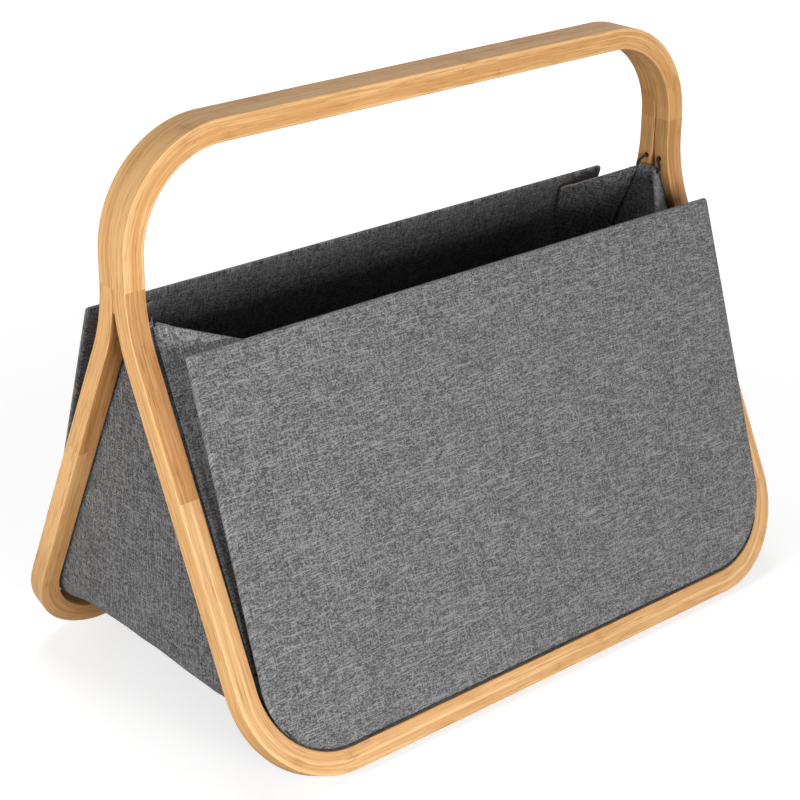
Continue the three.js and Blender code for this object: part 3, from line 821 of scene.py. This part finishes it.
def creased_profile():
    """Half of the band seen from the front, half way between the panels."""
    fall_x = BAND_HALF - CREASE_RADIUS + CREASE_RADIUS * math.cos(CHAMFER)
    fall_z = CREASE_HEIGHT - CREASE_RADIUS * math.sin(CHAMFER)
    centre_z = BAND_FLOOR + FLOOR_RADIUS
    low_z = centre_z - FLOOR_RADIUS * math.sin(CHAMFER)
    low_x = fall_x - (fall_z - low_z) * math.tan(CHAMFER)
    centre_x = low_x - FLOOR_RADIUS * math.cos(CHAMFER)
    crease = (BAND_HALF - CREASE_RADIUS, CREASE_HEIGHT)
    fall = [(mix(low_x, fall_x, i / FALL_STEPS), mix(low_z, fall_z, i / FALL_STEPS),
             -math.cos(CHAMFER), math.sin(CHAMFER)) for i in range(1, FALL_STEPS)]
    return (floor_stops(centre_x)
            + arc_stops((centre_x, centre_z), [FLOOR_RADIUS] * 2, math.pi / 2, CHAMFER, FLOOR_ARC_STEPS)
            + fall + arc_stops(crease, [CREASE_RADIUS] * 2, CHAMFER, 0, CREASE_STEPS)
            + wall_stops(CREASE_HEIGHT))


def sewn_profile():
    """The same along a seam, with as many stops."""
    centre = (BAND_HALF - SEAM_RADIUS_X, BAND_FLOOR + SEAM_RADIUS_Z)
    return (floor_stops(centre[0])
            + arc_stops(centre, (SEAM_RADIUS_X, SEAM_RADIUS_Z), math.pi / 2, 0,
                        FLOOR_ARC_STEPS + FALL_STEPS + CREASE_STEPS)
            + wall_stops(centre[1]))


def whole_profile(right):
    return [(-x, z, -in_x, in_z) for x, z, in_x, in_z in right[:0:-1]] + right


def band_ripple(x, y, z, across):
    """Slack of the cloth at the crease and below it: soft diagonal folds, none along the seams."""
    if z > RIPPLE_TOP or abs(x) < RIPPLE_FROM_X:
        return 0.0
    loose = ease(RIPPLE_TOP - z, 0, 60) * ease(1 - abs(across), 0.0, 0.12)
    folds = noise.noise(Vector((y / 16 + z / 26, z / 40, math.copysign(4.0, x))))
    return RIPPLE * loose * folds


def crease_drop(x, y, z):
    """The crease hangs a little lower towards one corner of each end than towards the other."""
    if abs(x) < 120:
        return 0.0
    drop = mix(*CREASE_DROPS, ease(y * math.copysign(1, x), -40, 80))
    above = 1 - ease(z, CREASE_HEIGHT, 150)
    below = min(max((z - BAND_FLOOR) / (CREASE_HEIGHT - BAND_FLOOR), 0.0), 1.0)
    return drop * above * below * ease(abs(x), 150, 200)


def strip_faces(rings, count):
    """Faces of cloth with two skins: each ring holds its outer skin's points, then its inner skin's."""
    step = 2 * count
    faces = net_faces(rings, count, step, 0, False) + net_faces(rings, count, step, count, False)
    for base in range(0, (rings - 1) * step, step):
        for edge in (base, base + count - 1):
            faces.append((edge, edge + count, edge + step + count, edge + step))
    for base in (0, (rings - 1) * step):
        faces += net_faces(2, count, count, base, False)
    return faces


def band_layer(name, set_in, finish):
    creased, sewn = whole_profile(creased_profile()), whole_profile(sewn_profile())
    points, lay = [], []
    runs = lengths_along([stop[:2] for stop in creased])
    for run, (cx, cz, c_in_x, c_in_z), (sx, sz, s_in_x, s_in_z) in zip(runs, creased, sewn):
        for skin in (0, FABRIC):
            depth = set_in + skin
            for across in BAND_COLUMNS:
                share = ease(abs(across), GUSSET_START, 1.0)
                x = mix(cx + depth * c_in_x, sx + depth * s_in_x, share)
                z = mix(cz + depth * c_in_z, sz + depth * s_in_z, share)
                y = across * band_reach(z)
                z -= crease_drop(x, y, z) * (1 - ease(abs(across), 0.9, 1.0))
                push = band_ripple(x, y, z, across)
                in_x, in_z = mix(c_in_x, s_in_x, share), mix(c_in_z, s_in_z, share)
                points.append((x + push * in_x, y, z + push * in_z))
                lay.append((y, run, skin))
    piece = new_piece(name, points, strip_faces(len(creased), len(BAND_COLUMNS)), lay, finish)
    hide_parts(name)
    return piece


# The ends' cloth is the panels' weave made darker: painted shade for the ends, which stand back between the
# legs.
end_cloth_painted_shade = cloth_finish("end_cloth_painted_shade", 0.03, 0.25, weft=0.75, warp=1.0)
band_cover = band_layer("band_cover", 0.0, end_cloth_painted_shade)
# The lining takes the darker inner cloth, which is painted shade.
band_lining = band_layer("band_lining", BAND_THICK - FABRIC, inner_cloth_painted_shade)


# Hems
# The top of each end is folded over to the inside into a tunnel for the cord, and held down
# by two rows of stitches.

HEM_THICK = 5.4
HEM_ROUND = 2.9
HEM_CUTS = 13
TUNNEL_X = BAND_HALF - HEM_THICK / 2
TUNNEL_Z = HEM_TOP - 3.6
TUNNEL_RADIUS = 1.7
STITCH_LENGTH = 2.6
STITCH_GAP = 0.7
STITCH_INSET = 1.2
STITCH_RINGS = 7
THREAD = 0.42
THREAD_SIDES = 8
ROW_HEIGHTS = {"low": 1.8, "high": 3.3}
ROW_DEPTHS = {"low": 0.55, "high": 0.8}
OUTER_ROW_DEPTH = 0.12


def hem_outline():
    """The folded cloth seen from its end: soft on top, drawn in where the stitches hold it."""
    low = BAND_TOP + SLACK
    inside, out = BAND_HALF - HEM_THICK, BAND_HALF
    outline = []
    for i in range(11):
        angle = math.pi * i / 10
        outline.append((TUNNEL_X + HEM_THICK / 2 * math.cos(angle),
                        HEM_TOP - HEM_ROUND + HEM_ROUND * math.sin(angle)))
    outline.append((inside + 0.05, HEM_TOP - 5.0))
    outline += [(inside + x, low + z) for x, z in (
        (0.5, 4.0), (0.75, 2.5), (0.6, 1.0), (1.1, 0.1), (1.8, 0))]
    outline += [(out - x, low + z) for x, z in ((1.0, 0), (0.2, 0.3), (0.1, 1.5), (0.35, 2.6), (0.1, 4.4))]
    return outline


def hem(end, side_x):
    outline = hem_outline()
    points, lay = [], []
    for k in range(HEM_CUTS):
        fraction = 2 * k / (HEM_CUTS - 1) - 1
        for x, z in outline:
            reach = fold_at(z) - FLAP_SET_BACK
            wave = 0.12 * noise.noise(Vector((fraction * 3, z / 4, side_x * 5.0)))
            points.append((side_x * (x + wave), fraction * reach, z))
            lay.append((fraction * reach, z, x - BAND_HALF))
        for x, z in outline:
            way = Vector((x - TUNNEL_X, z - TUNNEL_Z)).normalized() * TUNNEL_RADIUS
            x, z = TUNNEL_X + way.x, TUNNEL_Z + way.y
            points.append((side_x * x, fraction * (fold_at(z) - FLAP_SET_BACK), z))
            lay.append((fraction * 8, z, x - BAND_HALF))
    count = len(outline)
    faces = [face for first in (0, count) for face in net_faces(HEM_CUTS, count, 2 * count, first)]
    for base in (0, 2 * count * (HEM_CUTS - 1)):
        faces += net_faces(2, count, first=base)
    # The hem takes the ends' darker cloth, which is painted shade.
    piece = new_piece(f"{end}_hem", points, faces, lay, end_cloth_painted_shade, crisp=50)
    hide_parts(f"{end}_hem")


thread_finish, tree, shader = new_material("thread", 0.75)
strands = node(tree, "ShaderNodeTexWave", {"Vector": lay_in(tree), "Scale": 900.0, "Distortion": 0.6},
               bands_direction="DIAGONAL").outputs["Fac"]
plug(shader, {"Base Color": blend_colours(strands, (0.10, 0.10, 0.10, 1), (0.19, 0.19, 0.19, 1))})


def stitch_row(name, x, z, out_x):
    """A row of stitches across the hem: short plump threads that dip in at both ends."""
    reach = fold_at(z) - STITCH_INSET
    count = int((2 * reach - STITCH_GAP) / (STITCH_LENGTH + STITCH_GAP))
    pitch = (2 * reach - STITCH_GAP) / count
    points, lay, faces = [], [], []
    for stitch in range(count):
        faces += bar_faces(STITCH_RINGS, THREAD_SIDES, len(points))
        start = STITCH_GAP + stitch * pitch
        for k in range(STITCH_RINGS):
            share = k / (STITCH_RINGS - 1)
            plump = math.sin(math.pi * share)
            lift = THREAD * (1.25 * plump ** 0.5 - 0.75)
            girth = THREAD * (0.55 + 0.45 * plump)
            y = start + (pitch - STITCH_GAP) * share - reach
            for i in range(THREAD_SIDES):
                angle = 2 * math.pi * i / THREAD_SIDES
                points.append((x + out_x * (lift + girth * 0.55 * math.sin(angle)), y,
                               z - out_x * girth * 0.75 * math.cos(angle)))
                lay.append((start + pitch * share, THREAD * angle, 0.0))
    piece = new_piece(name, points, faces, lay, thread_finish, crisp=70)


for end, side_x in (("left", -1), ("right", 1)):
    hem(end, side_x)
    for row, height in ROW_HEIGHTS.items():
        inner_x = BAND_HALF - HEM_THICK + ROW_DEPTHS[row]
        outer_x = BAND_HALF - OUTER_ROW_DEPTH
        stitch_row(f"{end}_hem_stitches_inside_{row}", side_x * inner_x, BAND_TOP + height, -side_x)
        stitch_row(f"{end}_hem_stitches_outside_{row}", side_x * outer_x, BAND_TOP + height, side_x)


# Elastic cords
# A round black elastic with a braided cover hangs each end: it comes out of a blind hole in one leg,
# runs through the hem's tunnel and goes into the hole of the other leg.

CORD_RADIUS = 1.0
CORD_SIDES = 16
CORD_STEPS = 8
CORD_IN_HOLE = 9
BRAID = 0.00102
BRAID_SLANT = 1.3


def cord_route(side_x):
    """Stops from the back leg's hole to the middle of the tunnel, and their mirror images."""
    face = HOOP_WIDTH / 2 - BAR_WIDTH
    mouth = fold_at(TUNNEL_Z) - FLAP_SET_BACK
    half = [(face + CORD_IN_HOLE, HOLE_Y, HOLE_Z), (face + 1, HOLE_Y, HOLE_Z),
            (face - 1.6, HOLE_Y + 0.3, HOLE_Z - 0.5),
            (TUNNEL_X + 1.0, mouth + 0.6, TUNNEL_Z + 5.4),
            (TUNNEL_X + 0.2, mouth + 1.6, TUNNEL_Z + 2.2),
            (TUNNEL_X, mouth + 0.3, TUNNEL_Z + 0.3), (TUNNEL_X, mouth - 2.5, TUNNEL_Z),
            (TUNNEL_X, 2, TUNNEL_Z)]
    back = [Vector((side_x * x, y, z)) for x, y, z in half]
    return back + [Vector((p.x, -p.y, p.z)) for p in back[::-1]]


def smooth_route(stops):
    """A curve through the stops that doesn't swing out between unevenly spaced ones."""
    ends = [2 * stops[0] - stops[1]] + stops + [2 * stops[-1] - stops[-2]]
    route = []
    for k in range(len(ends) - 3):
        four = ends[k:k + 4]
        knots = [0.0]
        for a, b in zip(four, four[1:]):
            knots.append(knots[-1] + math.dist(a, b) ** 0.5)
        for i in range(CORD_STEPS):
            at = mix(knots[1], knots[2], i / CORD_STEPS)
            level = four
            for depth in (1, 2):
                level = [a.lerp(b, (at - knots[j]) / (knots[j + depth] - knots[j]))
                         for j, (a, b) in enumerate(zip(level, level[1:]))]
            route.append(level[0].lerp(level[1], i / CORD_STEPS))
    return route + [stops[-1]]


cord_finish, tree, shader = new_material("braided_elastic", 0.7)
along, around = node(tree, "ShaderNodeSeparateXYZ", {0: lay_in(tree)}).outputs[:2]
crossings = [calc("SINE", times(times(around, turn_way, along), 2 * math.pi / BRAID))
             for turn_way in (1.0, -1.0)]
raised = span(calc("MULTIPLY", *crossings), -0.6, 0.8)
plug(shader, {"Base Color": blend_colours(raised, (0.006, 0.006, 0.007, 1), (0.028, 0.028, 0.031, 1)),
              "Normal": relief(raised, 0.7, 0.0002)})


def cord(end, side_x):
    route = smooth_route(cord_route(side_x))
    points, lay = [], []
    out = Vector((0.3, 0.2, 1.0))
    for k, (along, spot) in enumerate(zip(lengths_along(route), route)):
        ahead = (route[min(k + 1, len(route) - 1)] - route[max(k - 1, 0)]).normalized()
        out = (out - ahead * out.dot(ahead)).normalized()
        aside = ahead.cross(out)
        for i in range(CORD_SIDES):
            angle = 2 * math.pi * i / CORD_SIDES
            points.append(spot + CORD_RADIUS * (out * math.cos(angle) + aside * math.sin(angle)))
            around = angle if i <= CORD_SIDES / 2 else angle - 2 * math.pi
            lay.append((along, BRAID_SLANT * around, 0))
    elastic = new_piece(f"{end}_cord", points, bar_faces(len(route), CORD_SIDES), lay, cord_finish)
    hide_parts(f"{end}_cord")


for end, side_x in (("left", -1), ("right", 1)):
    cord(end, side_x)


# Flaps
# Four stiff wings of the same cloth over thin board close the wedge between a leg and a panel.
# Each is sewn along a slanting fold to an end and stands free along its other edge.
# A strip of cloth turns from the end round to the flap.

FLAP_THICK = 3
FLAP_TURNED = 1.4
FLAP_TOPS = {"left_front": 291.0, "left_back": 294.5, "right_front": 295.5, "right_back": 296.4}
FLAP_TIP_DROPS = {"left_front": -0.012, "left_back": 0.0, "right_front": 0.006, "right_back": 0.013}
FLAP_STEPS = (0, 0.1, 0.2, 0.3, 0.4, 0.5, 0.6, 0.7, 0.8, 0.88, 0.93, 0.955, 0.972, 0.984, 0.993, 1)
FOLD_X = BAND_HALF - HEM_THICK
FOLD_TOP_POINT = Vector((FOLD_X, FOLD_AT_TOP, HEM_TOP))
FOLD_DOWN = Vector((0, FOLD_SLOPE, -1)).normalized()
TIP_FROM_TOP = Vector((195.5, 51.3, 278.5)) - FOLD_TOP_POINT
TIP_ALONG = TIP_FROM_TOP.dot(FOLD_DOWN)
FLAP_ACROSS = (TIP_FROM_TOP - FOLD_DOWN * TIP_ALONG).normalized()
TIP_ACROSS = TIP_FROM_TOP.dot(FLAP_ACROSS)
FLAP_INWARDS = FLAP_ACROSS.cross(FOLD_DOWN).normalized()
FLAP_LOW_ACROSS = 6
FLAP_ROWS = 30
FLAP_PARTS = 1000
STRIP_CUTS = 30
STRIP_TOP = 293.2
STRIP_BELOW_FLAP = 2.0
STRIP_SHORT = 4
STRIP_ROUND_END = ((5.46, -2.6), (5.5, -1.0), (5.35, -0.1), (4.7, 0.42), (3.4, 0.62), (1.8, 0.66), (0.5, 0.8))
STRIP_ON_FLAP = (1.6, 3.2, 5.2)
STRIP_SUNK = 0.12
STRIP_THICK = 0.35
STRIP_BENDS = (-4.2, 1.6)
# How far out from the end's fold line the near-black painted shade starts.
PAINTED_SHADE_FROM = 2.0

# The flaps' cloth is the panels' weave made paler: painted light that lifts the flaps in their dark wedge
# between leg and panel.
flap_cloth_painted_light = cloth_finish("flap_cloth_painted_light", 0.098, 0.385, weft=0.9, warp=0.8)


def down_fold(z):
    """How far down the slanting fold a height lies."""
    return (HEM_TOP - z) / -FOLD_DOWN.z


def flap_rows(top, tip_drop):
    low = Vector((FLAP_LOW_ACROSS, down_fold(FOLD_END)))
    tip = Vector((TIP_ACROSS, TIP_ALONG)).lerp(low, tip_drop)
    corners = [Vector((FLAP_SET_BACK, down_fold(top))), tip, low, Vector((FLAP_SET_BACK, low.y))]
    grid = []
    for u in FLAP_STEPS:
        upper, foot = corners[0].lerp(corners[1], u), corners[3].lerp(corners[2], u)
        row = []
        for v in spread_between(0, FLAP_PARTS, FLAP_ROWS):
            spot = upper.lerp(foot, v / FLAP_PARTS)
            insets = []
            for a, b in zip(corners, corners[1:]):
                way = (b - a).normalized()
                off = spot - a
                insets.append(abs(off.x * way.y - off.y * way.x))
            row.append((spot.x, spot.y, min(insets)))
        grid.append(row)
    return grid


def flap_place(side_x, side):
    def place(across, down, depth):
        spot = FOLD_TOP_POINT + FLAP_ACROSS * across + FOLD_DOWN * down + FLAP_INWARDS * depth
        return Vector((side_x * spot.x, side * spot.y, spot.z))
    return place


def fold_strip(name, side_x, side, top):
    """The strip's outer part, next to the leg, takes the near-black tape finish: painted shade for the dark
    gap between leg and fold.
    """
    mirror = Vector((side_x, side, 1))
    first, last = down_fold(min(top - STRIP_BELOW_FLAP, STRIP_TOP)), down_fold(FOLD_END) - STRIP_SHORT
    points, lay = [], []
    for k in range(STRIP_CUTS + 1):
        down = mix(first, last, k / STRIP_CUTS)
        base = FOLD_TOP_POINT + FOLD_DOWN * down
        path = [base + Vector((x, y, 0)) for x, y in STRIP_ROUND_END]
        path += [base + FLAP_ACROSS * across - FLAP_INWARDS * STRIP_SUNK for across in STRIP_ON_FLAP]
        for skin in (0, 1):
            back = Vector((skin * STRIP_THICK, skin * STRIP_THICK, 0))
            for i, spot in enumerate(path):
                points.append((spot - back) * mirror)
                lay.append((i * 1.6, down, skin * 0.4))
    faces = strip_faces(STRIP_CUTS + 1, len(path))
    mesh_piece = new_piece(name, points, faces, lay, flap_cloth_painted_light, body=None, crisp=70)
    mesh_piece.data.materials.append(binding_tape_painted_shade)
    # Painted shade: faces further out than this from the end's fold line get the near-black finish.
    for polygon in mesh_piece.data.polygons:
        beyond_end = abs(polygon.center.x) / MILLIMETRE - FOLD_X
        polygon.material_index = 1 if beyond_end > PAINTED_SHADE_FROM else 0
    start, end = [(FOLD_TOP_POINT + FLAP_ACROSS * across) * MILLIMETRE * mirror for across in STRIP_BENDS]
    return mesh_piece, start, end


for end, side_x in (("left", -1), ("right", 1)):
    for where, side in (("front", -1), ("back", 1)):
        corner = f"{end}_{where}"
        name = f"{corner}_flap"

        def flap_ripple(across, down, key=side_x * 3.0 + side):
            return 0.25 * noise.noise(Vector((across / 30, down / 60, key)))

        flap = pocket(f"{name}_cover", flap_rows(FLAP_TOPS[corner], FLAP_TIP_DROPS[corner]), FLAP_THICK,
                      FLAP_TURNED, flap_place(side_x, side), flap_ripple, flap_cloth_painted_light, name)
        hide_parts(f"{name}_cover")
        strip, bend_start, bend_end = fold_strip(f"{corner}_fold", side_x, side, FLAP_TOPS[corner])
        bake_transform(strip)
        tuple(bend_start)
        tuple(bend_end)


# Studio
# A pale floor that glows for the camera alone, less near the basket than further out: painted light that runs
# it out into white.
# A large soft light from the front, weaker ones from the left and from above, and a pale surround that is
# darker on the camera's side and overhead.

FLOOR_HALF = 6

floor_mesh = bpy.data.meshes.new("studio_floor")
floor_mesh.from_pydata([(x * FLOOR_HALF, y * FLOOR_HALF, 0) for x, y in ((-1, -1), (1, -1), (1, 1), (-1, 1))],
                       [], [(0, 1, 2, 3)])
floor = bpy.data.objects.new("studio_floor", floor_mesh)
scene.collection.objects.link(floor)
floor_finish, tree, shader = new_material("pale_floor", 0.7)
floor_place = node(tree, "ShaderNodeTexCoord").outputs["Object"]
dust = stretched_noise(floor_place, (3.0, 3.0, 3.0), 3.0)
# The floor glows for camera rays only, less near the basket: painted light that keeps the far floor white.
seen = node(tree, "ShaderNodeLightPath").outputs["Is Camera Ray"]
away = node(tree, "ShaderNodeVectorMath", {0: floor_place}, operation="LENGTH").outputs["Value"]
plug(shader, {
    "Base Color": blend_colours(dust, (0.50, 0.50, 0.50, 1), (0.53, 0.53, 0.53, 1)),
    "Specular IOR Level": 0.1, "Emission Strength": 1.0,
    "Emission Color": calc("MULTIPLY", seen, span(away, 0.35, 1.6, 0.69, 1.0))})
floor_mesh.materials.append(floor_finish)

surround = bpy.data.worlds.new("surround")
scene.world = surround
surround.use_nodes = True
way = node(surround.node_tree, "ShaderNodeTexCoord").outputs["Generated"]
height = node(surround.node_tree, "ShaderNodeSeparateXYZ", {0: way}).outputs["Z"]
behind = vector_calc("DOT_PRODUCT", way, (0.67, 0.74, 0.0))["Value"]
plug(surround.node_tree.nodes["Background"], {
    "Color": (1, 1, 1, 1),
    "Strength": calc("MULTIPLY", span(behind, -0.3, 0.5, 0.35, 1.0), span(height, 0.38, 0.65, 0.70, 0.10))})


def soft_light(name, place, target, size, power):
    lamp = bpy.data.lights.new(name, "AREA")
    lamp.shape = "RECTANGLE"
    lamp.size, lamp.size_y = size
    lamp.energy = power
    holder = bpy.data.objects.new(name, lamp)
    scene.collection.objects.link(holder)
    holder.location = place
    holder.rotation_euler = (Vector(target) - Vector(place)).to_track_quat("-Z", "Y").to_euler()


soft_light("front_softbox", (-0.5, -1.75, 0.45), (-0.1, 0, 0.2), (1.0, 0.7), 28)
soft_light("left_softbox", (-1.15, -0.1, 0.24), (0, 0, 0.16), (0.7, 0.4), 5.9)
soft_light("top_softbox", (0.0, 0.5, 2.6), (0, 0, 0.2), (1.2, 0.8), 20)

scene.view_settings.view_transform = "Standard"
